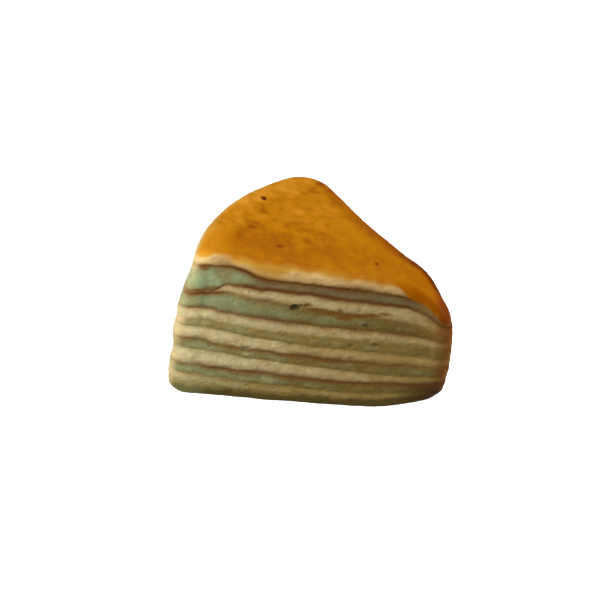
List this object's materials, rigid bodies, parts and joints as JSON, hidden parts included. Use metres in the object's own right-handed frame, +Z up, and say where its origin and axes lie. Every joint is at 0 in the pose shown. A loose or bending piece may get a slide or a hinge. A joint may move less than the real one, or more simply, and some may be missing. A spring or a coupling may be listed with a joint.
{
  "type": "pandan layer cake slice",
  "caption": "Wedge of cake in thin green pandan and pale cream layers under a golden browned top, cut from a round cake and resting on its flat base.",
  "frame": {"origin": "bottom centre of the slice's bounding box, on the surface it rests on", "axes": "+X along the front cut from the cake's rim to the tip of the wedge, +Y from the front cut to the back, +Z up"},
  "size_m": [0.0897, 0.0734, 0.0502],
  "materials": {
    "pandan_crumb": "moist fine green crumb",
    "cream_crumb": "moist fine pale crumb",
    "browned_top": "satin golden-brown baked crust"
  },
  "bodies": {
    "root": {"pandan_1": "pandan_crumb", "cream_1": "cream_crumb", "pandan_2": "pandan_crumb", "cream_2": "cream_crumb", "pandan_3": "pandan_crumb", "cream_3": "cream_crumb", "pandan_4": "pandan_crumb", "cream_4": "cream_crumb", "pandan_5": "pandan_crumb", "cream_5": "cream_crumb", "pandan_6": "pandan_crumb", "cream_6": "browned_top"}
  },
  "joints": []
}
